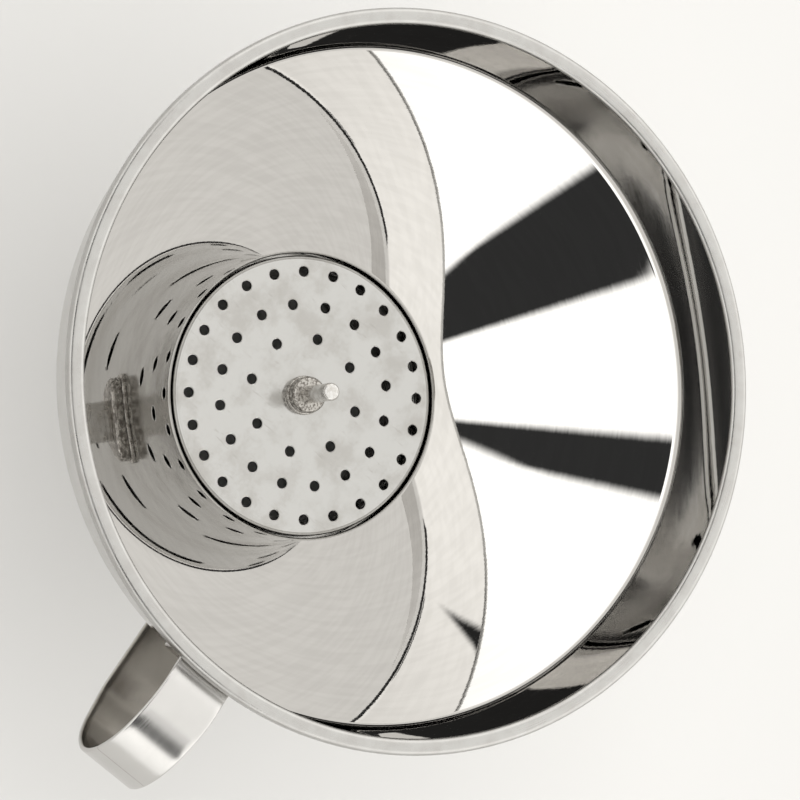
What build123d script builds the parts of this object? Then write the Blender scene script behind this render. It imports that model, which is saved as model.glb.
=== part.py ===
"""Canning funnel with a lift-out perforated strainer.

Millimetres. The origin is the centre of the spout's outlet, +Z runs up out of the mouth
and the handle reaches out along +X.
"""

import math
import os

from build123d import *

os.makedirs("parts", exist_ok=True)

# ---- driving dimensions ---------------------------------------------------------------
mouth_diameter = 140.0  # across the outside of the rolled bead
total_height = 83.3  # spout outlet to the top of the bead
strainer_diameter = 55.4  # outside of the strainer's turned-down skirt
sheet = 0.75  # stainless sheet of bowl and spout
wall_height = 18.3  # shoulder corner to the top of the bead, mid sheet
wall_lean = 6.0  # degrees the rim wall opens outwards
cone_half_angle = 46.0  # degrees, cone to axis
bead_width = 3.1
bead_depth = 3.3
throat_rise = 0.35  # strainer's face above the corner of cone and neck
seat_depth = 6.0  # strainer's top face down to the ledge it stands on
strainer_clearance = 0.4  # radial, strainer to neck
seat_clearance = 0.3  # skirt to ledge
weld_gap = 0.02  # lap joint of neck and spout
neck_gap = 0.5  # end of the neck to the ledge
ledge_step = 1.2  # strainer's outside to the spout tube's outside
sleeve_top = 1.6  # strainer's face down to the sleeve's upper edge
handle_width = 12.0
handle_strip = 1.0
loop_out = 21.6  # rim to the middle of the strip at the loop's far end
loop_drop = 28.2  # upper strand to lower strand
bead_gap = 0.25  # upper strand to the underside of the bead
foot_bed = 0.25  # how far the flat strip is pressed to the round wall
wall_foot = 12.0
cone_foot = 9.0
plate_t = 0.8
pin_diameter = 3.5
pin_standing = 10.6  # pin above its collar
pin_chamfer = 0.6
shank_d = 2.6  # pin's shank through collar, washer and plate
washer_d, washer_t = 7.7, 0.8
collar_d, collar_t = 7.2, 2.2
tail_r, tail_t = 2.6, 1.0  # riveted end under the plate
hole_diameter = 2.2
strainer_turn = -0.4  # degrees the loose strainer happens to be turned
ring_edge = 3.2  # outermost ring of holes to the strainer's outside
ring_pitch = 6.5
ring_holes = ((24, 7.5), (16, 0.0), (8, 22.5))  # count and first angle, outermost ring first

# ---- derived --------------------------------------------------------------------------
half = sheet / 2
neck_r = strainer_diameter / 2 + strainer_clearance  # inside of the neck
neck_mid = neck_r + half
top_mid = total_height - half
wall_slope = math.tan(math.radians(wall_lean))
cone_angle = math.radians(cone_half_angle)
bead_mid_r = mouth_diameter / 2 - half
lip_mid_r = bead_mid_r - (bead_width - sheet)
corner_z = top_mid - wall_height + half
corner_r = lip_mid_r - (top_mid - corner_z) * wall_slope
cone_foot_z = corner_z - (corner_r - neck_mid) / math.tan(cone_angle)  # mid sheet, cone to neck
face_z = cone_foot_z + throat_rise  # strainer's top face
bead_low_mid = total_height - bead_depth + half
ledge_top = face_z - seat_depth - weld_gap
ledge_mid = ledge_top - half
sleeve_mid = neck_mid + sheet + weld_gap
plate_r = strainer_diameter / 2
skirt_low = face_z - seat_depth + seat_clearance
spout_r = plate_r - ledge_step  # outside of the spout tube
spout_mid = spout_r - half
neck_low = ledge_top + neck_gap
collar_top = face_z + washer_t + collar_t


def cone_out(r):
    """Height of the cone's outer skin at radius r."""
    return cone_foot_z + (r - neck_mid) / math.tan(cone_angle) - half / math.sin(cone_angle)


def cone_radius(z):
    """Radius of the cone's outer skin at height z."""
    return neck_mid + (z - cone_foot_z + half / math.sin(cone_angle)) * math.tan(cone_angle)


def wall_out(z):
    """Radius of the rim wall's outer skin at height z."""
    return corner_r + (z - corner_z) * wall_slope + half / math.cos(math.radians(wall_lean))


# ---- bowl: neck, cone, shoulder, rim wall and rolled bead --------------------------------
with BuildPart() as funnel_bowl:
    with BuildSketch(Plane.XZ):
        with BuildLine():
            FilletPolyline(
                (neck_mid, neck_low),
                (neck_mid, cone_foot_z),
                (corner_r, corner_z),
                (lip_mid_r, top_mid),
                (bead_mid_r, top_mid),
                (bead_mid_r, bead_low_mid),
                (bead_mid_r - 1.5, bead_low_mid),
                radius=(1.2, 3.6, 1.1, 1.2, 1.15),
            )
        trace(line_width=sheet)
    revolve(axis=Axis.Z)
funnel_bowl.part.label = "funnel_bowl"
export_step(funnel_bowl.part, "parts/funnel_bowl.step")

# ---- spout: sleeve lapped round the neck, strainer ledge and outlet tube -----------------
with BuildPart() as spout:
    with BuildSketch(Plane.XZ):
        with BuildLine():
            FilletPolyline(
                (sleeve_mid, face_z - sleeve_top),
                (sleeve_mid, ledge_mid),
                (spout_mid, ledge_mid),
                (spout_mid, 0),
                radius=0.5,
            )
        trace(line_width=sheet)
    revolve(axis=Axis.Z)
spout.part.label = "spout"
export_step(spout.part, "parts/spout.step")

# ---- handle: one bent strip, its two feet laid on the rim wall and on the cone -----------
mid = handle_strip / 2
rim_r = mouth_diameter / 2
strand_z = total_height - bead_depth - bead_gap - mid
lower_z = strand_z - loop_drop
foot_top_z = strand_z - 0.25  # just under the strand's bend
foot_low_z = strand_z - wall_foot
touch_r = cone_radius(lower_z - 1.4)
wall_lay = mid - foot_bed
cone_lay = wall_lay / math.sin(cone_angle)
with BuildPart() as handle_loop:
    with BuildSketch(Plane.XZ):
        with BuildLine():
            FilletPolyline(
                (wall_out(foot_low_z) + wall_lay, foot_low_z),
                (wall_out(foot_top_z) + wall_lay, foot_top_z),
                (rim_r + 1.0, strand_z),
                (rim_r + 0.305 * loop_out, strand_z + 1.6),
                (rim_r + 0.815 * loop_out, strand_z - 0.12 * loop_drop),
                (rim_r + loop_out, strand_z - 0.52 * loop_drop),
                (rim_r + 0.77 * loop_out, strand_z - 0.87 * loop_drop),
                (rim_r + 0.29 * loop_out, lower_z),
                (touch_r, cone_out(touch_r) - cone_lay),
                (touch_r - cone_foot, cone_out(touch_r - cone_foot) - cone_lay),
                radius=(0.9, 3.0, 4.0, 10.0, 13.0, 11.0, 14.0, 4.0),
            )
        trace(line_width=handle_strip)
    extrude(amount=handle_width / 2, both=True)
    with BuildSketch(Plane.XZ):
        with BuildLine():
            Polyline(
                (0, cone_foot_z - 4),
                (neck_mid, cone_out(neck_mid)),
                (corner_r, cone_out(corner_r)),
                (wall_out(corner_z), corner_z),
                (wall_out(foot_top_z + 1), foot_top_z + 1),
                (0, foot_top_z + 1),
                close=True,
            )
        make_face()
    revolve(axis=Axis.Z, mode=Mode.SUBTRACT)
handle_loop.part.label = "handle_loop"
export_step(handle_loop.part, "parts/handle_loop.step")

# ---- strainer: perforated plate with a turned-down skirt ---------------------------------
with BuildPart() as strainer_plate:
    with BuildSketch(Plane.XZ):
        with BuildLine():
            FilletPolyline(
                (shank_d / 2 + weld_gap, face_z - plate_t / 2),
                (plate_r - plate_t / 2, face_z - plate_t / 2),
                (plate_r - plate_t / 2, skirt_low),
                radius=1.0,
            )
        trace(line_width=plate_t)
    revolve(axis=Axis.Z)
    with BuildSketch(Plane.XY.offset(face_z + 1)):
        for ring, (ring_count, ring_start) in enumerate(ring_holes):
            ring_r = plate_r - ring_edge - ring * ring_pitch
            with PolarLocations(ring_r, ring_count, start_angle=ring_start + strainer_turn):
                Circle(hole_diameter / 2)
    extrude(amount=-3, mode=Mode.SUBTRACT)
strainer_plate.part.label = "strainer_plate"
export_step(strainer_plate.part, "parts/strainer_plate.step")

# ---- washer and collar under the lifting pin ---------------------------------------------
with BuildPart() as pin_washer:
    with BuildSketch(Plane.XY.offset(face_z)):
        Circle(washer_d / 2)
        Circle(shank_d / 2 + weld_gap, mode=Mode.SUBTRACT)
    extrude(amount=washer_t)
    fillet(pin_washer.edges().filter_by(GeomType.CIRCLE).group_by(SortBy.RADIUS)[-1], 0.2)
pin_washer.part.label = "pin_washer"
export_step(pin_washer.part, "parts/pin_washer.step")

with BuildPart() as pin_collar:
    with BuildSketch(Plane.XY.offset(face_z + washer_t)):
        Circle(collar_d / 2)
        Circle(shank_d / 2 + weld_gap, mode=Mode.SUBTRACT)
    extrude(amount=collar_t)
    fillet(pin_collar.edges().filter_by(GeomType.CIRCLE).group_by(SortBy.RADIUS)[-1], 0.3)
pin_collar.part.label = "pin_collar"
export_step(pin_collar.part, "parts/pin_collar.step")

# ---- lifting pin: shank riveted under the plate, shoulder on the collar, chamfered tip ---
with BuildPart() as lifting_pin:
    with BuildSketch(Plane.XZ):
        with BuildLine():
            Polyline(
                (0, face_z - plate_t - tail_t),
                (tail_r - 0.7, face_z - plate_t - tail_t),
                (tail_r, face_z - plate_t - tail_t / 2),
                (tail_r, face_z - plate_t),
                (shank_d / 2, face_z - plate_t),
                (shank_d / 2, collar_top),
                (pin_diameter / 2, collar_top),
                (pin_diameter / 2, collar_top + pin_standing - pin_chamfer),
                (pin_diameter / 2 - pin_chamfer, collar_top + pin_standing),
                (0, collar_top + pin_standing),
                close=True,
            )
        make_face()
    revolve(axis=Axis.Z)
lifting_pin.part.label = "lifting_pin"
export_step(lifting_pin.part, "parts/lifting_pin.step")
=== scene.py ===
"""Looks of the canning funnel: polished bowl, spun spout, strip handle and lift-out strainer.

Metres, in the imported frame: origin at the middle of the spout's outlet, +Z out of the mouth,
handle along +X. Turned pieces are lathed from their outlines, sheet pieces from their mid line.
"""

import math

import bmesh
import bpy
from mathutils import Matrix, Vector


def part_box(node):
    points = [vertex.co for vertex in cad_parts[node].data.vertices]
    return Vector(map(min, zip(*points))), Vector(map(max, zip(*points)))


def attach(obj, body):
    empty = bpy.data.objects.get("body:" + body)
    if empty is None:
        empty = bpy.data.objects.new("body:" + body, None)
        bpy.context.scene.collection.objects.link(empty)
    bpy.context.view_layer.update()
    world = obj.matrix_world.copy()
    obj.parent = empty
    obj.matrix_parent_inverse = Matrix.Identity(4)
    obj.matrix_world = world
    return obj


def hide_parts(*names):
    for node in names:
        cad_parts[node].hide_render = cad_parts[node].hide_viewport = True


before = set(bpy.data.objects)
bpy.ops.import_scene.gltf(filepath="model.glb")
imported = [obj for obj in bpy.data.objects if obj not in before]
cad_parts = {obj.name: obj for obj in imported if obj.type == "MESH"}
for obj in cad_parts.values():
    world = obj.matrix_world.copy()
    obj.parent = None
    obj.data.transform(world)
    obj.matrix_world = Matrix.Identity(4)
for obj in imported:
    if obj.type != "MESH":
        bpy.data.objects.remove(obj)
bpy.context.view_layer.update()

MM = 0.001

# ---- sizes, from the frame and the sheet ------------------------------------------------
bowl_low, bowl_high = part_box("funnel_bowl")
spout_low, spout_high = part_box("spout")
plate_low, plate_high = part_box("strainer_plate")
washer_low, washer_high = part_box("pin_washer")
collar_low, collar_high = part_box("pin_collar")
pin_low, pin_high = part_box("lifting_pin")

SHEET = 0.75 * MM
HALF = SHEET / 2
RIM_R = bowl_high.x  # outside of the rolled bead
TOP = bowl_high.z
PLATE_R = plate_high.x
FACE_Z = plate_high.z  # strainer's top face
NECK_LOW = bowl_low.z
SLEEVE_MID = spout_high.x - HALF
NECK_MID = PLATE_R + 0.4 * MM + HALF
THROAT_RISE = 0.35 * MM
BEAD_W = 3.1 * MM
BEAD_D = 3.3 * MM
WALL_H = 18.3 * MM
WALL_LEAN = math.radians(6.0)
CONE_HALF_ANGLE = math.radians(46.0)
LEDGE_STEP = 1.2 * MM

TOP_MID = TOP - HALF
BEAD_MID_R = RIM_R - HALF
LIP_MID_R = BEAD_MID_R - (BEAD_W - SHEET)
CORNER_Z = TOP_MID - WALL_H + HALF
CORNER_R = LIP_MID_R - (TOP_MID - CORNER_Z) * math.tan(WALL_LEAN)
CONE_FOOT_Z = FACE_Z - THROAT_RISE
BEAD_LOW_MID = TOP - BEAD_D + HALF
LEDGE_MID = NECK_LOW - 0.5 * MM - HALF
SPOUT_MID = PLATE_R - LEDGE_STEP - HALF

SHARP_ANGLE = math.radians(35)  # an edge that turns more than this stays sharp
SAME_POINT = 0.002 * MM  # points nearer than this are one
END_PAIR = 0.12 * MM  # gap of the close pair of points at each end of a straight
RIVET_BORE = 1.32 * MM  # hole through plate, washer and collar for the pin's shank

# ---- helpers for outlines ---------------------------------------------------------------
def rounded_path(points, radii, straight_step, arc_steps):
    """Points along a line with its corners rounded; straights are split so shading stays true."""
    path = [Vector(points[0])]
    stops = []
    for before, corner, after, radius in zip(points, points[1:], points[2:], radii):
        corner = Vector(corner)
        back = (Vector(before) - corner).normalized()
        onward = (Vector(after) - corner).normalized()
        half_turn = math.acos(max(-1.0, min(1.0, back.dot(onward)))) / 2
        reach = radius / math.tan(half_turn)
        start, end = corner + back * reach, corner + onward * reach
        middle = corner + (back + onward).normalized() * (radius / math.sin(half_turn))
        stops.append((start, end, middle, radius))
    here = path[0]
    for start, end, middle, radius in stops:
        path += split_line(here, start, straight_step)
        a0 = math.atan2(start.y - middle.y, start.x - middle.x)
        turn = math.atan2(end.y - middle.y, end.x - middle.x) - a0
        turn = (turn + math.pi) % (2 * math.pi) - math.pi
        for k in range(1, arc_steps + 1):
            a = a0 + turn * k / arc_steps
            path.append(middle + radius * Vector((math.cos(a), math.sin(a))))
        here = end
    path += split_line(here, Vector(points[-1]), straight_step)
    return path


def split_line(start, end, step):
    """Points after start, up to end, about a step apart, with a close pair at each end."""
    run = (end - start).length
    if run < 1e-7:
        return []
    count = max(1, round(run / step))
    shares = [k / count for k in range(1, count + 1)]
    close = END_PAIR / run
    if count > 2:
        shares = [close] + shares[:-1] + [1 - close, 1.0]
    return [start.lerp(end, share) for share in shares]


def side_of(path, distance):
    """The path moved sideways by a distance, to its left."""
    moved = []
    for k, point in enumerate(path):
        ahead = path[min(k + 1, len(path) - 1)] - path[max(k - 1, 0)]
        ahead.normalize()
        moved.append(point + distance * Vector((-ahead.y, ahead.x)))
    return moved


def sheet_outline(path, thickness):
    """Closed outline of a sheet of a thickness laid along its mid line."""
    return side_of(path, -thickness / 2) + list(reversed(side_of(path, thickness / 2)))


# ---- helpers for node trees -------------------------------------------------------------
def new_node(tree, kind, **settings):
    node = tree.nodes.new(kind)
    for key, value in settings.items():
        setattr(node, key, value)
    return node


def plug(tree, socket, value):
    """A link where the value is another node's output, otherwise the socket's own value."""
    if isinstance(value, bpy.types.NodeSocket):
        tree.links.new(value, socket)
    else:
        socket.default_value = value


def calc(tree, operation, *values):
    node = new_node(tree, "ShaderNodeMath", operation=operation)
    for socket, value in zip(node.inputs, values):
        plug(tree, socket, value)
    return node.outputs[0]


def vector_calc(tree, operation, *values, scale=None):
    node = new_node(tree, "ShaderNodeVectorMath", operation=operation)
    for socket, value in zip(node.inputs, values):
        plug(tree, socket, value)
    if scale is not None:
        plug(tree, node.inputs["Scale"], scale)
    return node.outputs["Value"] if operation in ("LENGTH", "DOT_PRODUCT") else node.outputs["Vector"]


def smooth_step(tree, value, low, high, to_low=0.0, to_high=1.0):
    node = new_node(tree, "ShaderNodeMapRange", interpolation_type="SMOOTHSTEP")
    for socket, given in zip(node.inputs, (value, low, high, to_low, to_high)):
        plug(tree, socket, given)
    return node.outputs[0]


def mix_colour(tree, share, first, second):
    node = new_node(tree, "ShaderNodeMix", data_type="RGBA")
    plug(tree, node.inputs[0], share)
    plug(tree, node.inputs[6], first)
    plug(tree, node.inputs[7], second)
    return node.outputs[2]


def noise(tree, place, scale=1.0, detail=2.0, roughness=0.5):
    node = new_node(tree, "ShaderNodeTexNoise", noise_dimensions="3D")
    plug(tree, node.inputs["Vector"], place)
    node.inputs["Scale"].default_value = scale
    node.inputs["Detail"].default_value = detail
    node.inputs["Roughness"].default_value = roughness
    return node


# ---- geometry node trees ----------------------------------------------------------------
def geometry_tree(name, inputs):
    """An empty tree with a Geometry in and out and the named inputs."""
    tree = bpy.data.node_groups.new(name, "GeometryNodeTree")
    tree.interface.new_socket("Geometry", in_out="INPUT", socket_type="NodeSocketGeometry")
    for label, kind in inputs:
        tree.interface.new_socket(label, in_out="INPUT", socket_type=kind)
    tree.interface.new_socket("Geometry", in_out="OUTPUT", socket_type="NodeSocketGeometry")
    source = tree.nodes.new("NodeGroupInput")
    sink = tree.nodes.new("NodeGroupOutput")
    return tree, source, sink


def finish_tree(tree, source, sink, geometry):
    """Smooth faces with sharp corners, instances made real, and the piece's material."""
    angle = new_node(tree, "GeometryNodeInputMeshEdgeAngle")
    sharp = new_node(tree, "FunctionNodeCompare", data_type="FLOAT", operation="GREATER_THAN")
    tree.links.new(angle.outputs["Unsigned Angle"], sharp.inputs[0])
    sharp.inputs[1].default_value = SHARP_ANGLE
    faces = new_node(tree, "GeometryNodeSetShadeSmooth", domain="FACE")
    edges = new_node(tree, "GeometryNodeSetShadeSmooth", domain="EDGE")
    real = new_node(tree, "GeometryNodeRealizeInstances")
    finish = new_node(tree, "GeometryNodeSetMaterial")
    tree.links.new(geometry, real.inputs["Geometry"])
    tree.links.new(real.outputs["Geometry"], faces.inputs["Geometry"])
    tree.links.new(faces.outputs["Geometry"], edges.inputs["Geometry"])
    tree.links.new(sharp.outputs[0], edges.inputs["Selection"])
    edges.inputs["Shade Smooth"].default_value = False
    tree.links.new(edges.outputs["Geometry"], finish.inputs["Geometry"])
    tree.links.new(source.outputs["Material"], finish.inputs["Material"])
    tree.links.new(finish.outputs["Geometry"], sink.inputs["Geometry"])


def lathe_tree():
    """Turns an outline about Z. It is drawn as (radius less the centre radius, minus height)."""
    tree, source, sink = geometry_tree("lathe", (
        ("Facets", "NodeSocketInt"),
        ("Centre Radius", "NodeSocketFloat"),
        ("Material", "NodeSocketMaterial"),
    ))
    wire = new_node(tree, "GeometryNodeMeshToCurve")
    circle = new_node(tree, "GeometryNodeCurvePrimitiveCircle", mode="RADIUS")
    sweep = new_node(tree, "GeometryNodeCurveToMesh")
    merge = new_node(tree, "GeometryNodeMergeByDistance")
    merge.inputs["Distance"].default_value = SAME_POINT
    tree.links.new(source.outputs["Geometry"], wire.inputs[0])
    tree.links.new(source.outputs["Facets"], circle.inputs["Resolution"])
    tree.links.new(source.outputs["Centre Radius"], circle.inputs["Radius"])
    tree.links.new(circle.outputs["Curve"], sweep.inputs["Curve"])
    tree.links.new(wire.outputs[0], sweep.inputs["Profile Curve"])
    flip = new_node(tree, "GeometryNodeFlipFaces")
    tree.links.new(sweep.outputs["Mesh"], flip.inputs["Mesh"])
    tree.links.new(flip.outputs["Mesh"], merge.inputs["Geometry"])
    finish_tree(tree, source, sink, merge.outputs["Geometry"])
    return tree


def run_tree(piece, tree, values):
    """Gives the piece the mesh that the tree makes from it; the modifier doesn't stay."""
    modifier = piece.modifiers.new(tree.name, "NODES")
    modifier.node_group = tree
    entries = [item for item in tree.interface.items_tree if item.in_out == "INPUT"]
    sockets = {item.name: item.identifier for item in entries}
    for label, value in values.items():
        modifier[sockets[label]] = value
    bpy.context.view_layer.update()
    ready = piece.evaluated_get(bpy.context.evaluated_depsgraph_get())
    mesh = bpy.data.meshes.new_from_object(ready)
    piece.modifiers.clear()
    piece.data = mesh
    mesh.name = piece.name
    return piece


def mesh_piece(name, points, edges=(), faces=()):
    mesh = bpy.data.meshes.new(name)
    mesh.from_pydata([tuple(p) for p in points], list(edges), list(faces))
    piece = bpy.data.objects.new(name, mesh)
    bpy.context.scene.collection.objects.link(piece)
    return piece


LATHE = lathe_tree()
CENTRE_R = 100.0 * MM


def lathed(name, outline, facets, material):
    """A turned piece from its outline of (radius, height) points, open where it meets the axis."""
    points = [(r - CENTRE_R, -z, 0.0) for r, z in outline]
    closed = outline[0][0] > 0
    links = len(points) if closed else len(points) - 1
    edges = [(k, (k + 1) % len(points)) for k in range(links)]
    piece = mesh_piece(name, points, edges)
    values = {"Facets": facets, "Centre Radius": CENTRE_R, "Material": material}
    return run_tree(piece, LATHE, values)


# ---- materials --------------------------------------------------------------------------
def blank_material(name):
    material = bpy.data.materials.new(name)
    material.use_nodes = True
    tree = material.node_tree
    tree.nodes.clear()
    out = new_node(tree, "ShaderNodeOutputMaterial")
    return material, tree, out


def object_place(tree):
    return new_node(tree, "ShaderNodeTexCoord").outputs["Object"]


def ring_place(tree, around, along):
    """Pattern place that runs round the axis: slow round it, quick from throat to rim."""
    place = object_place(tree)
    split = new_node(tree, "ShaderNodeSeparateXYZ")
    tree.links.new(place, split.inputs[0])
    flat = new_node(tree, "ShaderNodeCombineXYZ")
    tree.links.new(split.outputs["X"], flat.inputs["X"])
    tree.links.new(split.outputs["Y"], flat.inputs["Y"])
    radius = vector_calc(tree, "LENGTH", flat.outputs[0])
    heading = vector_calc(tree, "NORMALIZE", flat.outputs[0])
    heading = vector_calc(tree, "SCALE", heading, scale=around)
    run = calc(tree, "MULTIPLY", calc(tree, "ADD", radius, split.outputs["Z"]), along)
    rise = new_node(tree, "ShaderNodeCombineXYZ")
    tree.links.new(run, rise.inputs["Z"])
    return vector_calc(tree, "ADD", heading, rise.outputs[0])


def jittered_normal(tree, streaks, amount):
    """The surface's normal, nudged by a noise colour, as fine polishing marks nudge it."""
    shift = vector_calc(tree, "SUBTRACT", streaks, (0.5, 0.5, 0.5))
    shift = vector_calc(tree, "SCALE", shift, scale=amount)
    normal = new_node(tree, "ShaderNodeNewGeometry").outputs["Normal"]
    return vector_calc(tree, "NORMALIZE", vector_calc(tree, "ADD", normal, shift))


def wheel_normal(tree, streaks, sideways, any_way):
    """The normal of a ring-polished bowl: each fine ring leans a little along itself."""
    place = object_place(tree)
    around = vector_calc(tree, "NORMALIZE", vector_calc(tree, "CROSS_PRODUCT", (0, 0, 1), place))
    share = calc(tree, "MULTIPLY", calc(tree, "SUBTRACT", streaks.outputs[0], 0.5), sideways)
    shift = vector_calc(tree, "SCALE", around, scale=share)
    loose = vector_calc(tree, "SUBTRACT", streaks.outputs["Color"], (0.5, 0.5, 0.5))
    shift = vector_calc(tree, "ADD", shift, vector_calc(tree, "SCALE", loose, scale=any_way))
    normal = new_node(tree, "ShaderNodeNewGeometry").outputs["Normal"]
    return vector_calc(tree, "NORMALIZE", vector_calc(tree, "ADD", normal, shift))


def steel_shader(tree, out, colour, roughness, normal=None):
    shader = new_node(tree, "ShaderNodeBsdfPrincipled")
    shader.inputs["Metallic"].default_value = 1.0
    plug(tree, shader.inputs["Base Color"], colour)
    plug(tree, shader.inputs["Roughness"], roughness)
    if normal is not None:
        tree.links.new(normal, shader.inputs["Normal"])
    tree.links.new(shader.outputs[0], out.inputs["Surface"])
    return shader


def polished_steel(name):
    """Bowl: mirror polish with fine rings left by the polishing wheel."""
    material, tree, out = blank_material(name)
    fine = noise(tree, ring_place(tree, 11.0, 2600.0), detail=3.0, roughness=0.6)
    broad = noise(tree, ring_place(tree, 5.0, 500.0), detail=1.0)
    marks = noise(tree, ring_place(tree, 16.0, 1500.0), detail=2.0, roughness=0.7)
    share = smooth_step(tree, broad.outputs[0], 0.35, 0.65)
    colour = mix_colour(tree, share, (0.63, 0.62, 0.605, 1), (0.66, 0.65, 0.635, 1))
    rough = smooth_step(tree, marks.outputs[0], 0.45, 0.75, 0.012, 0.026)
    normal = wheel_normal(tree, fine, 0.008, 0.0004)
    steel_shader(tree, out, colour, rough, normal)
    return material


def dull_skin(name, light, dark, rough_low, rough_high):
    """Bowl's outside and bead: the same sheet, less polished, with faint handling marks. The bead's copy
    also has a darker colour, which is painted shade on the bead.
    """
    material, tree, out = blank_material(name)
    rings = noise(tree, ring_place(tree, 9.0, 1600.0), detail=2.0)
    marks = noise(tree, object_place(tree), scale=260.0, detail=4.0, roughness=0.65)
    colour = mix_colour(tree, smooth_step(tree, marks.outputs[0], 0.35, 0.7), light, dark)
    rough = smooth_step(tree, rings.outputs[0], 0.35, 0.7, rough_low, rough_high)
    normal = wheel_normal(tree, rings, 0.03, 0.01)
    steel_shader(tree, out, colour, rough, normal)
    return material


def spun_steel(name):
    """Spout: duller spun finish with plain turning rings."""
    material, tree, out = blank_material(name)
    rings = noise(tree, ring_place(tree, 3.0, 1800.0), detail=2.0)
    colour = mix_colour(tree, rings.outputs[0], (0.50, 0.49, 0.47, 1), (0.62, 0.61, 0.59, 1))
    rough = smooth_step(tree, rings.outputs[0], 0.3, 0.7, 0.18, 0.34)
    normal = jittered_normal(tree, rings.outputs["Color"], 0.05)
    steel_shader(tree, out, colour, rough, normal)
    return material


def satin_plate(name):
    """Strainer: pressed satin sheet with faint smudges and scuffs."""
    material, tree, out = blank_material(name)
    place = object_place(tree)
    smudge = noise(tree, place, scale=130.0, detail=4.0, roughness=0.62)
    grain = noise(tree, place, scale=2600.0, detail=2.0)
    drawn_out = vector_calc(tree, "MULTIPLY", place, (900.0, 160.0, 300.0))
    scuff = noise(tree, drawn_out, detail=3.0, roughness=0.7)
    smudged = smooth_step(tree, smudge.outputs[0], 0.42, 0.68)
    clean = mix_colour(tree, smudged, (0.47, 0.465, 0.45, 1), (0.40, 0.39, 0.37, 1))
    scuffed = smooth_step(tree, scuff.outputs[0], 0.60, 0.74, 0.0, 0.35)
    colour = mix_colour(tree, scuffed, clean, (0.30, 0.285, 0.265, 1))
    rough = smooth_step(tree, smudge.outputs[0], 0.35, 0.7, 0.12, 0.20)
    normal = jittered_normal(tree, grain.outputs["Color"], 0.03)
    steel_shader(tree, out, colour, rough, normal)
    return material


def brushed_strip(name, dark, light):
    """Handle: satin strip brushed along its length. Its darker copy paints shade on the faces inside the
    loop.
    """
    material, tree, out = blank_material(name)
    place = vector_calc(tree, "MULTIPLY", object_place(tree), (45.0, 5200.0, 45.0))
    brush = noise(tree, place, detail=3.0, roughness=0.6)
    wear = noise(tree, object_place(tree), scale=180.0, detail=3.0)
    colour = mix_colour(tree, wear.outputs[0], dark, light)
    rough = smooth_step(tree, brush.outputs[0], 0.3, 0.7, 0.19, 0.24)
    normal = jittered_normal(tree, brush.outputs["Color"], 0.005)
    steel_shader(tree, out, colour, rough, normal)
    return material


def turned_steel(name, light, dark, rough_low, rough_high, speckle):
    """Small turned pieces: tool rings and a little speckle."""
    material, tree, out = blank_material(name)
    rings = noise(tree, ring_place(tree, 2.0, 3500.0), detail=2.0)
    spots = noise(tree, object_place(tree), scale=speckle, detail=3.0, roughness=0.65)
    share = smooth_step(tree, spots.outputs[0], 0.42, 0.62)
    colour = mix_colour(tree, share, light, dark)
    rough = smooth_step(tree, spots.outputs[0], 0.3, 0.7, rough_low, rough_high)
    normal = jittered_normal(tree, rings.outputs["Color"], 0.10)
    steel_shader(tree, out, colour, rough, normal)
    return material


BOWL_FINISH = polished_steel("bowl_polish")
OUTSIDE_FINISH = dull_skin("bowl_outside", (0.60, 0.595, 0.58, 1), (0.56, 0.55, 0.53, 1), 0.10, 0.16)
# Bead: rougher satin finish, and a darker colour that is painted shade on the rolled bead.
BEAD_SATIN_AND_SHADE = dull_skin("bowl_bead_satin_and_shade", (0.45, 0.445, 0.43, 1), (0.41, 0.40, 0.385, 1), 0.26, 0.38)
SPOUT_FINISH = spun_steel("spout_spun")
PLATE_FINISH = satin_plate("strainer_satin")
HANDLE_FINISH = brushed_strip("handle_brushed", (0.53, 0.52, 0.505, 1), (0.60, 0.59, 0.575, 1))
# The same brushed strip, darker: painted shade on the faces inside the handle's loop.
HANDLE_INSIDE_SHADE = brushed_strip("handle_inside_painted_shade", (0.30, 0.28, 0.255, 1), (0.40, 0.38, 0.35, 1))
WASHER_FINISH = turned_steel(
    "washer_turned", (0.50, 0.48, 0.45, 1), (0.24, 0.22, 0.20, 1), 0.18, 0.34, 1500.0,
)
COLLAR_FINISH = turned_steel(
    "collar_turned", (0.46, 0.44, 0.41, 1), (0.17, 0.155, 0.14, 1), 0.20, 0.42, 1900.0,
)
PIN_FINISH = turned_steel("pin_turned", (0.64, 0.63, 0.61, 1), (0.52, 0.50, 0.47, 1), 0.16, 0.28, 900.0)


# ---- bowl and spout ---------------------------------------------------------------------
# The bead's satin finish and painted shade reach this deep on the rim's top and this far in at its side.
BEAD_TOP_D = 1.1 * MM  # depth of the bead finish on the rim's top
BEAD_SIDE_W = 1.0 * MM  # and its reach inward below that
BEAD_RETURN = 1.5 * MM
BOWL_BENDS = (1.2 * MM, 3.6 * MM, 0.65 * MM, 0.65 * MM, 0.9 * MM)
SPOUT_BEND = 0.5 * MM


def sheet_radius(z):
    """Radius of the middle of the bowl's sheet at a height."""
    cone = NECK_MID + (z - CONE_FOOT_Z) * math.tan(CONE_HALF_ANGLE)
    wall = CORNER_R + (z - CORNER_Z) * math.tan(WALL_LEAN)
    return max(NECK_MID, min(cone, wall))


def on_outside(face):
    """Outside the middle of the sheet, seen from the axis."""
    centre = face.center
    return math.hypot(centre.x, centre.y) > sheet_radius(centre.z)


def on_bead(face):
    """The rolled bead, from its inner shoulder to its lower edge, which gets the rougher satin and the
    painted shade.
    """
    centre = face.center
    out = math.hypot(centre.x, centre.y)
    on_top = centre.z > TOP - BEAD_TOP_D
    return on_top or (centre.z > TOP - BEAD_D and out > RIM_R - BEAD_SIDE_W)


def paint_faces(piece, material, wanted):
    """Gives another material to the faces that are wanted; on the bead and inside the handle's loop it
    carries painted shade.
    """
    piece.data.materials.append(material)
    slot = len(piece.data.materials) - 1
    for face in piece.data.polygons:
        if wanted(face):
            face.material_index = slot


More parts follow.
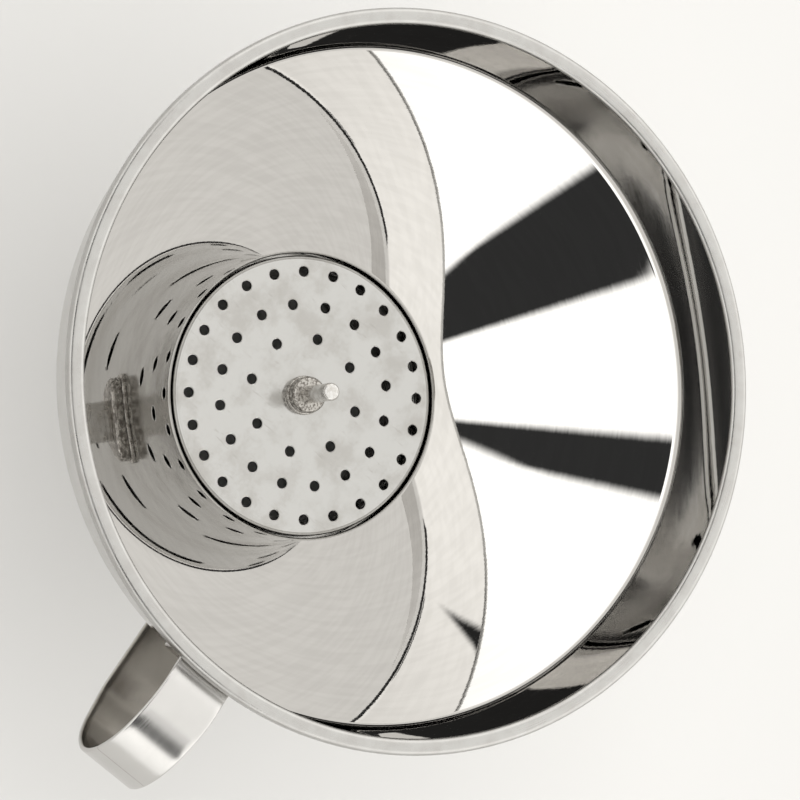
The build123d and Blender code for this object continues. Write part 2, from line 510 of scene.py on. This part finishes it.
def make_bowl():
    path = rounded_path(
        (
            (NECK_MID, NECK_LOW),
            (NECK_MID, CONE_FOOT_Z),
            (CORNER_R, CORNER_Z),
            (LIP_MID_R, TOP_MID),
            (BEAD_MID_R, TOP_MID),
            (BEAD_MID_R, BEAD_LOW_MID),
            (BEAD_MID_R - BEAD_RETURN, BEAD_LOW_MID),
        ),
        BOWL_BENDS,
        1.4 * MM,
        8,
    )
    piece = lathed("bowl_skin", sheet_outline(path, SHEET), 256, BOWL_FINISH)
    paint_faces(piece, OUTSIDE_FINISH, on_outside)
    # The bead gets the darker copy: real satin finish plus painted shade.
    paint_faces(piece, BEAD_SATIN_AND_SHADE, on_bead)
    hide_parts("funnel_bowl")
    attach(piece, "funnel")


def make_spout():
    path = rounded_path(
        (
            (SLEEVE_MID, spout_high.z),
            (SLEEVE_MID, LEDGE_MID),
            (SPOUT_MID, LEDGE_MID),
            (SPOUT_MID, spout_low.z),
        ),
        (SPOUT_BEND, SPOUT_BEND),
        2.0 * MM,
        5,
    )
    piece = lathed("spout_skin", sheet_outline(path, SHEET), 192, SPOUT_FINISH)
    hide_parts("spout")
    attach(piece, "funnel")


# ---- handle -----------------------------------------------------------------------------
STRIP = 1.0 * MM
STRIP_W = 12.0 * MM
STRIP_EDGE = 0.42 * MM
LOOP_OUT = 21.6 * MM
LOOP_DROP = 28.2 * MM
FOOT_BED = 0.25 * MM
FLAT_STEP = 1.0 * MM
INSIDE_LEAN = -0.3  # a face whose normal leans this much towards the loop's middle is inside it


def cone_out(r):
    """Height of the cone's outside at a radius."""
    return CONE_FOOT_Z + (r - NECK_MID) / math.tan(CONE_HALF_ANGLE) - HALF / math.sin(CONE_HALF_ANGLE)


def cone_radius(z):
    """Radius of the cone's outside at a height."""
    return NECK_MID + (z - CONE_FOOT_Z + HALF / math.sin(CONE_HALF_ANGLE)) * math.tan(CONE_HALF_ANGLE)


def wall_out(z):
    """Radius of the rim wall's outside at a height."""
    return CORNER_R + (z - CORNER_Z) * math.tan(WALL_LEAN) + HALF / math.cos(WALL_LEAN)


def handle_path():
    """Mid line of the strip in the XZ plane, from the foot on the wall to the foot on the cone."""
    lay = STRIP / 2 - FOOT_BED
    strand = TOP - BEAD_D - 0.25 * MM - STRIP / 2
    lower = strand - LOOP_DROP
    foot_top = strand - 0.25 * MM
    foot_low = strand - 12.0 * MM
    touch = cone_radius(lower - 1.4 * MM)
    cone_lay = lay / math.sin(CONE_HALF_ANGLE)
    cone_end = touch - 9.0 * MM
    points = (
        (wall_out(foot_low) + lay, foot_low),
        (wall_out(foot_top) + lay, foot_top),
        (RIM_R + 1.0 * MM, strand),
        (RIM_R + 0.305 * LOOP_OUT, strand + 1.0 * MM),
        (RIM_R + 0.815 * LOOP_OUT, strand - 0.12 * LOOP_DROP),
        (RIM_R + LOOP_OUT, strand - 0.52 * LOOP_DROP),
        (RIM_R + 0.77 * LOOP_OUT, strand - 0.87 * LOOP_DROP),
        (RIM_R + 0.29 * LOOP_OUT, lower),
        (touch, cone_out(touch) - cone_lay),
        (cone_end, cone_out(cone_end) - cone_lay),
    )
    radii = [r * MM for r in (0.9, 3.0, 14.0, 14.5, 13.0, 11.0, 14.0, 4.0)]
    return rounded_path(points, radii, 0.8 * MM, 14)


def strip_section():
    """Rounded rectangle across the strip: (side, height) points."""
    side, high = STRIP_W / 2 - STRIP_EDGE, STRIP / 2 - STRIP_EDGE
    section = []
    for sx, sy, start in ((1, 1, 0), (-1, 1, 90), (-1, -1, 180), (1, -1, 270)):
        for k in range(5):
            a = math.radians(start + 22.5 * k)
            across = sx * side + STRIP_EDGE * math.cos(a)
            section.append((across, sy * high + STRIP_EDGE * math.sin(a)))
    flat = []
    for k, here in enumerate(section):
        flat.append(here)
        after = section[(k + 1) % len(section)]
        gap = math.hypot(after[0] - here[0], after[1] - here[1])
        count = round(gap / FLAT_STEP)
        for j in range(1, count):
            share = j / count
            across = here[0] + (after[0] - here[0]) * share
            up = here[1] + (after[1] - here[1]) * share
            flat.append((across, up))
    return flat


def inside_loop(face):
    """The strip's faces that look towards the middle of the loop, which get the darker copy as painted
    shade.
    """
    middle = Vector((RIM_R + 0.5 * LOOP_OUT, TOP - BEAD_D - 0.45 * LOOP_DROP))
    away = Vector((face.center.x, face.center.z)) - middle
    return Vector((face.normal.x, face.normal.z)).dot(away) < INSIDE_LEAN * away.length


def make_handle():
    path = handle_path()
    section = strip_section()
    foot_reach = RIM_R + 0.5 * MM
    points, faces = [], []
    for k, middle in enumerate(path):
        ahead = (path[min(k + 1, len(path) - 1)] - path[max(k - 1, 0)]).normalized()
        across = Vector((-ahead.y, ahead.x))
        hug = min(1.0, max(0.0, (foot_reach - middle.x) / (2.0 * MM)))
        for side, high in section:
            spot = middle + across * high
            sag = spot.x - math.sqrt(max(spot.x ** 2 - side ** 2, 0.0))
            points.append((spot.x - sag * hug, side, spot.y))
    ring = len(section)
    for k in range(len(path) - 1):
        for j in range(ring):
            a, b = k * ring + j, k * ring + (j + 1) % ring
            faces.append((a, b, b + ring, a + ring))
    faces.append(tuple(range(ring - 1, -1, -1)))
    faces.append(tuple(range((len(path) - 1) * ring, len(path) * ring)))
    piece = mesh_piece("handle_strip", points, faces=faces)
    shade(piece, HANDLE_FINISH)
    # Faces inside the loop get the darker copy: painted shade where the loop hides the light.
    paint_faces(piece, HANDLE_INSIDE_SHADE, inside_loop)
    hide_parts("handle_loop")
    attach(piece, "funnel")


def shade(piece, material):
    """Outward normals, smooth faces with sharp corners, and the material, on a hand-built mesh."""
    work = bmesh.new()
    work.from_mesh(piece.data)
    bmesh.ops.remove_doubles(work, verts=work.verts, dist=SAME_POINT)
    bmesh.ops.recalc_face_normals(work, faces=work.faces)
    for face in work.faces:
        face.smooth = True
    for edge in work.edges:
        edge.smooth = not (edge.is_manifold and edge.calc_face_angle() > SHARP_ANGLE)
    work.to_mesh(piece.data)
    work.free()
    piece.data.materials.clear()
    piece.data.materials.append(material)


# ---- strainer ---------------------------------------------------------------------------
PLATE_T = 0.8 * MM
PLATE_BEND = 0.6 * MM
CUTTER_DEPTH = 4.0 * MM
HOLE_SIDES = 28
HOLE_R = 1.1 * MM
BURR_R = 0.10 * MM
TURN = -0.4  # degrees, of all the rings together
RING_EDGE = 3.2 * MM
RING_PITCH = 6.5 * MM
RINGS = ((24, 7.5), (16, 0.0), (8, 22.5))  # holes and first angle of each ring, outermost first


def perforate_tree():
    """Cuts a straight hole through the plate at each point that the rings give."""
    tree, source, sink = geometry_tree("perforate", (
        ("Ring Edge", "NodeSocketFloat"),
        ("Ring Pitch", "NodeSocketFloat"),
        ("Plate Radius", "NodeSocketFloat"),
        ("Hole Radius", "NodeSocketFloat"),
        ("Height", "NodeSocketFloat"),
        ("Turn", "NodeSocketFloat"),
        ("Material", "NodeSocketMaterial"),
    ))
    spots = hole_spots(tree, source)
    cutter = new_node(tree, "GeometryNodeMeshCylinder")
    cutter.inputs["Vertices"].default_value = HOLE_SIDES
    cutter.inputs["Depth"].default_value = CUTTER_DEPTH
    tree.links.new(source.outputs["Hole Radius"], cutter.inputs["Radius"])
    instances = new_node(tree, "GeometryNodeInstanceOnPoints")
    tree.links.new(spots, instances.inputs["Points"])
    tree.links.new(cutter.outputs["Mesh"], instances.inputs["Instance"])
    real = new_node(tree, "GeometryNodeRealizeInstances")
    tree.links.new(instances.outputs[0], real.inputs[0])
    cut = new_node(tree, "GeometryNodeMeshBoolean", operation="DIFFERENCE", solver="EXACT")
    tree.links.new(source.outputs["Geometry"], cut.inputs["Mesh 1"])
    tree.links.new(real.outputs[0], cut.inputs["Mesh 2"])
    finish_tree(tree, source, sink, cut.outputs["Mesh"])
    return tree


def hole_spots(tree, source):
    """Points on the plate's rings of holes, at the given height."""
    join = new_node(tree, "GeometryNodeJoinGeometry")
    for ring, (count, start) in enumerate(RINGS):
        away = new_node(tree, "ShaderNodeMath", operation="MULTIPLY")
        tree.links.new(source.outputs["Ring Pitch"], away.inputs[0])
        away.inputs[1].default_value = ring
        inset = new_node(tree, "ShaderNodeMath", operation="ADD")
        tree.links.new(source.outputs["Ring Edge"], inset.inputs[0])
        tree.links.new(away.outputs[0], inset.inputs[1])
        radius = new_node(tree, "ShaderNodeMath", operation="SUBTRACT")
        tree.links.new(source.outputs["Plate Radius"], radius.inputs[0])
        tree.links.new(inset.outputs[0], radius.inputs[1])
        circle = new_node(tree, "GeometryNodeCurvePrimitiveCircle", mode="RADIUS")
        circle.inputs["Resolution"].default_value = count
        tree.links.new(radius.outputs[0], circle.inputs["Radius"])
        points = new_node(tree, "GeometryNodeCurveToPoints", mode="EVALUATED")
        tree.links.new(circle.outputs["Curve"], points.inputs["Curve"])
        turn = new_node(tree, "ShaderNodeMath", operation="ADD")
        tree.links.new(source.outputs["Turn"], turn.inputs[0])
        turn.inputs[1].default_value = math.radians(start)
        spin = new_node(tree, "ShaderNodeCombineXYZ")
        tree.links.new(turn.outputs[0], spin.inputs["Z"])
        lift = new_node(tree, "ShaderNodeCombineXYZ")
        tree.links.new(source.outputs["Height"], lift.inputs["Z"])
        place = new_node(tree, "GeometryNodeTransform")
        tree.links.new(points.outputs["Points"], place.inputs["Geometry"])
        tree.links.new(spin.outputs[0], place.inputs["Rotation"])
        tree.links.new(lift.outputs[0], place.inputs["Translation"])
        tree.links.new(place.outputs["Geometry"], join.inputs[0])
    return join.outputs[0]


def burr_tree():
    """A fine rolled edge round each punched hole."""
    tree, source, sink = geometry_tree("hole_burrs", (
        ("Ring Edge", "NodeSocketFloat"),
        ("Ring Pitch", "NodeSocketFloat"),
        ("Plate Radius", "NodeSocketFloat"),
        ("Hole Radius", "NodeSocketFloat"),
        ("Height", "NodeSocketFloat"),
        ("Turn", "NodeSocketFloat"),
        ("Burr Radius", "NodeSocketFloat"),
        ("Material", "NodeSocketMaterial"),
    ))
    spots = hole_spots(tree, source)
    loop = new_node(tree, "GeometryNodeCurvePrimitiveCircle", mode="RADIUS")
    loop.inputs["Resolution"].default_value = HOLE_SIDES
    tree.links.new(source.outputs["Hole Radius"], loop.inputs["Radius"])
    wire = new_node(tree, "GeometryNodeCurvePrimitiveCircle", mode="RADIUS")
    wire.inputs["Resolution"].default_value = 8
    tree.links.new(source.outputs["Burr Radius"], wire.inputs["Radius"])
    roll = new_node(tree, "GeometryNodeCurveToMesh")
    tree.links.new(loop.outputs["Curve"], roll.inputs["Curve"])
    tree.links.new(wire.outputs["Curve"], roll.inputs["Profile Curve"])
    instances = new_node(tree, "GeometryNodeInstanceOnPoints")
    tree.links.new(spots, instances.inputs["Points"])
    tree.links.new(roll.outputs["Mesh"], instances.inputs["Instance"])
    finish_tree(tree, source, sink, instances.outputs[0])
    return tree


def make_strainer():
    path = rounded_path(
        (
            (RIVET_BORE, FACE_Z - PLATE_T / 2),
            (PLATE_R - PLATE_T / 2, FACE_Z - PLATE_T / 2),
            (PLATE_R - PLATE_T / 2, plate_low.z),
        ),
        (PLATE_BEND,),
        3.2 * MM,
        7,
    )
    piece = lathed("strainer_disc", sheet_outline(path, PLATE_T), 128, PLATE_FINISH)
    holes = {
        "Ring Edge": RING_EDGE,
        "Ring Pitch": RING_PITCH,
        "Plate Radius": PLATE_R,
        "Hole Radius": HOLE_R,
        "Height": FACE_Z - PLATE_T / 2,
        "Turn": math.radians(TURN),
        "Material": PLATE_FINISH,
    }
    run_tree(piece, perforate_tree(), holes)
    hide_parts("strainer_plate")
    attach(piece, "strainer")
    burrs = mesh_piece("hole_burrs", [(0, 0, 0)])
    holes["Height"] = FACE_Z - 0.6 * BURR_R
    holes["Hole Radius"] = HOLE_R + 0.3 * BURR_R
    holes["Burr Radius"] = BURR_R
    run_tree(burrs, burr_tree(), holes)
    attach(burrs, "strainer")


# ---- washer, collar and lifting pin -----------------------------------------------------
def rounded_outline(corners, radii):
    """Closed outline of (radius, height) corners, each rounded by its own radius."""
    loop = []
    count = len(corners)
    for k, radius in enumerate(radii):
        before, corner, after = corners[k - 1], corners[k], corners[(k + 1) % count]
        if radius == 0:
            loop.append(Vector(corner))
        else:
            loop += rounded_path((before, corner, after), (radius,), 1.0, 5)[1:-1]
    return loop


def make_washer():
    bore = RIVET_BORE
    r = washer_high.x
    corners = ((bore, washer_low.z), (r, washer_low.z), (r, washer_high.z), (bore, washer_high.z))
    piece = lathed("washer_ring", rounded_outline(corners, (0, 0.15 * MM, 0.2 * MM, 0)), 96, WASHER_FINISH)
    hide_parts("pin_washer")
    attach(piece, "strainer")


def make_collar():
    bore = RIVET_BORE
    r = collar_high.x
    corners = ((bore, collar_low.z), (r, collar_low.z), (r, collar_high.z), (bore, collar_high.z))
    piece = lathed("collar_ring", rounded_outline(corners, (0, 0.25 * MM, 0.55 * MM, 0)), 96, COLLAR_FINISH)
    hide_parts("pin_collar")
    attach(piece, "strainer")


def make_pin():
    shank = 1.3 * MM
    body = 1.75 * MM
    tail = 2.6 * MM
    low, top = pin_low.z, pin_high.z
    under = FACE_Z - PLATE_T
    collar_top = collar_high.z
    corners = (
        (0, low), (tail, low), (tail, under), (shank, under),
        (shank, collar_top), (body, collar_top), (body, top), (0, top),
    )
    radii = (0, 0.5 * MM, 0.1 * MM, 0, 0, 0.1 * MM, 0.5 * MM, 0)
    piece = lathed("pin_turned", rounded_outline(corners, radii), 96, PIN_FINISH)
    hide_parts("lifting_pin")
    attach(piece, "strainer")


# ---- floor, surroundings and camera -----------------------------------------------------
FLOOR_SIZE = 6.0
FLOOR_GAP = 0.2 * MM
FLOOR_PALE = (0.72, 0.715, 0.705, 1)


def make_floor():
    """Plain pale table, lit by the tent like everything else."""
    h = FLOOR_SIZE / 2
    floor = mesh_piece("floor", [(-h, -h, 0), (h, -h, 0), (h, h, 0), (-h, h, 0)], faces=[(0, 1, 2, 3)])
    floor.location.z = -FLOOR_GAP
    material, tree, out = blank_material("pale_table")
    paint = new_node(tree, "ShaderNodeBsdfDiffuse")
    paint.inputs["Color"].default_value = FLOOR_PALE
    tree.links.new(paint.outputs[0], out.inputs["Surface"])
    floor.data.materials.append(material)


# A pale tent: brightness by elevation in degrees. Then plain black cards inside it, each with its
# middle azimuth, half width, lowest and highest elevation, all in whole degrees.
TENT = ((0, 1.5), (35, 2.0), (60, 1.4), (90, 1.3))
CARDS = ((-76, 8, 26, 30), (-10, 16, 24, 30), (-45, 80, 33, 55))
CARD_SOFT = (2.0, 0.4)  # softness of a card's sides and of its top and bottom
CARD_BLACK = (0.04, 0.04, 0.04, 1)
TENT_WHITE = (1.0, 0.99, 0.965)


def make_sky():
    """Soft studio light: one pale tent with two black cards and a black curtain."""
    world = bpy.data.worlds.new("studio")
    bpy.context.scene.world = world
    world.use_nodes = True
    tree = world.node_tree
    tree.nodes.clear()
    way = new_node(tree, "ShaderNodeTexCoord").outputs["Generated"]
    split = new_node(tree, "ShaderNodeSeparateXYZ")
    tree.links.new(way, split.inputs[0])
    degrees = 180 / math.pi
    azimuth = calc(tree, "MULTIPLY", calc(tree, "ARCTAN2", split.outputs["Y"], split.outputs["X"]), degrees)
    elevation = calc(tree, "MULTIPLY", calc(tree, "ARCSINE", split.outputs["Z"]), degrees)
    level = TENT[0][1]
    for (low, before), (high, after) in zip(TENT, TENT[1:]):
        step = smooth_step(tree, elevation, float(low), float(high), 0.0, after - before)
        level = calc(tree, "ADD", level, step)
    colour = vector_calc(tree, "SCALE", TENT_WHITE, scale=level)
    for card in CARDS:
        colour = mix_colour(tree, card_share(tree, azimuth, elevation, *card), colour, CARD_BLACK)
    shader = new_node(tree, "ShaderNodeBackground")
    tree.links.new(colour, shader.inputs["Color"])
    out = new_node(tree, "ShaderNodeOutputWorld")
    tree.links.new(shader.outputs[0], out.inputs["Surface"])


def card_share(tree, azimuth, elevation, middle, half_width, low, high):
    """1 inside a rectangular card and 0 outside it, with soft edges."""
    side_soft, end_soft = CARD_SOFT
    away = calc(tree, "WRAP", calc(tree, "SUBTRACT", azimuth, float(middle)), 180.0, -180.0)
    away = calc(tree, "ABSOLUTE", away)
    across = smooth_step(tree, away, half_width - side_soft, half_width + side_soft, 1.0, 0.0)
    bottom = smooth_step(tree, elevation, low - end_soft, low + end_soft)
    top = smooth_step(tree, elevation, high - end_soft, high + end_soft, 1.0, 0.0)
    return calc(tree, "MULTIPLY", across, calc(tree, "MULTIPLY", bottom, top))


VIEW_AZIMUTH = 44.9
VIEW_ELEVATION = 64.72
VIEW_ROLL = 82.92
VIEW_DISTANCE = 906.3 * MM
VIEW_TARGET = Vector((-2.2, 6.8, 60.0)) * MM
LENS = 212.7


def camera_back():
    a, e = math.radians(VIEW_AZIMUTH), math.radians(VIEW_ELEVATION)
    return Vector((math.sin(a) * math.cos(e), -math.cos(a) * math.cos(e), math.sin(e)))


def make_camera():
    a, roll = math.radians(VIEW_AZIMUTH), math.radians(VIEW_ROLL)
    back = camera_back()
    level = Vector((math.cos(a), math.sin(a), 0))
    up = back.cross(level)
    right = level * math.cos(roll) + up * math.sin(roll)
    top = back.cross(right)
    camera = bpy.data.objects.new("camera", bpy.data.cameras.new("camera"))
    bpy.context.scene.collection.objects.link(camera)
    camera.data.lens = LENS
    camera.data.sensor_width = 36.0
    camera.data.clip_end = 50.0
    turn = Matrix((right, top, back)).transposed()
    camera.matrix_world = Matrix.Translation(VIEW_TARGET + back * VIEW_DISTANCE) @ turn.to_4x4()
    bpy.context.scene.camera = camera


make_camera()
make_bowl()
make_spout()
make_handle()
make_strainer()
make_washer()
make_collar()
make_pin()
make_floor()
make_sky()
bpy.context.scene.view_settings.view_transform = "Standard"
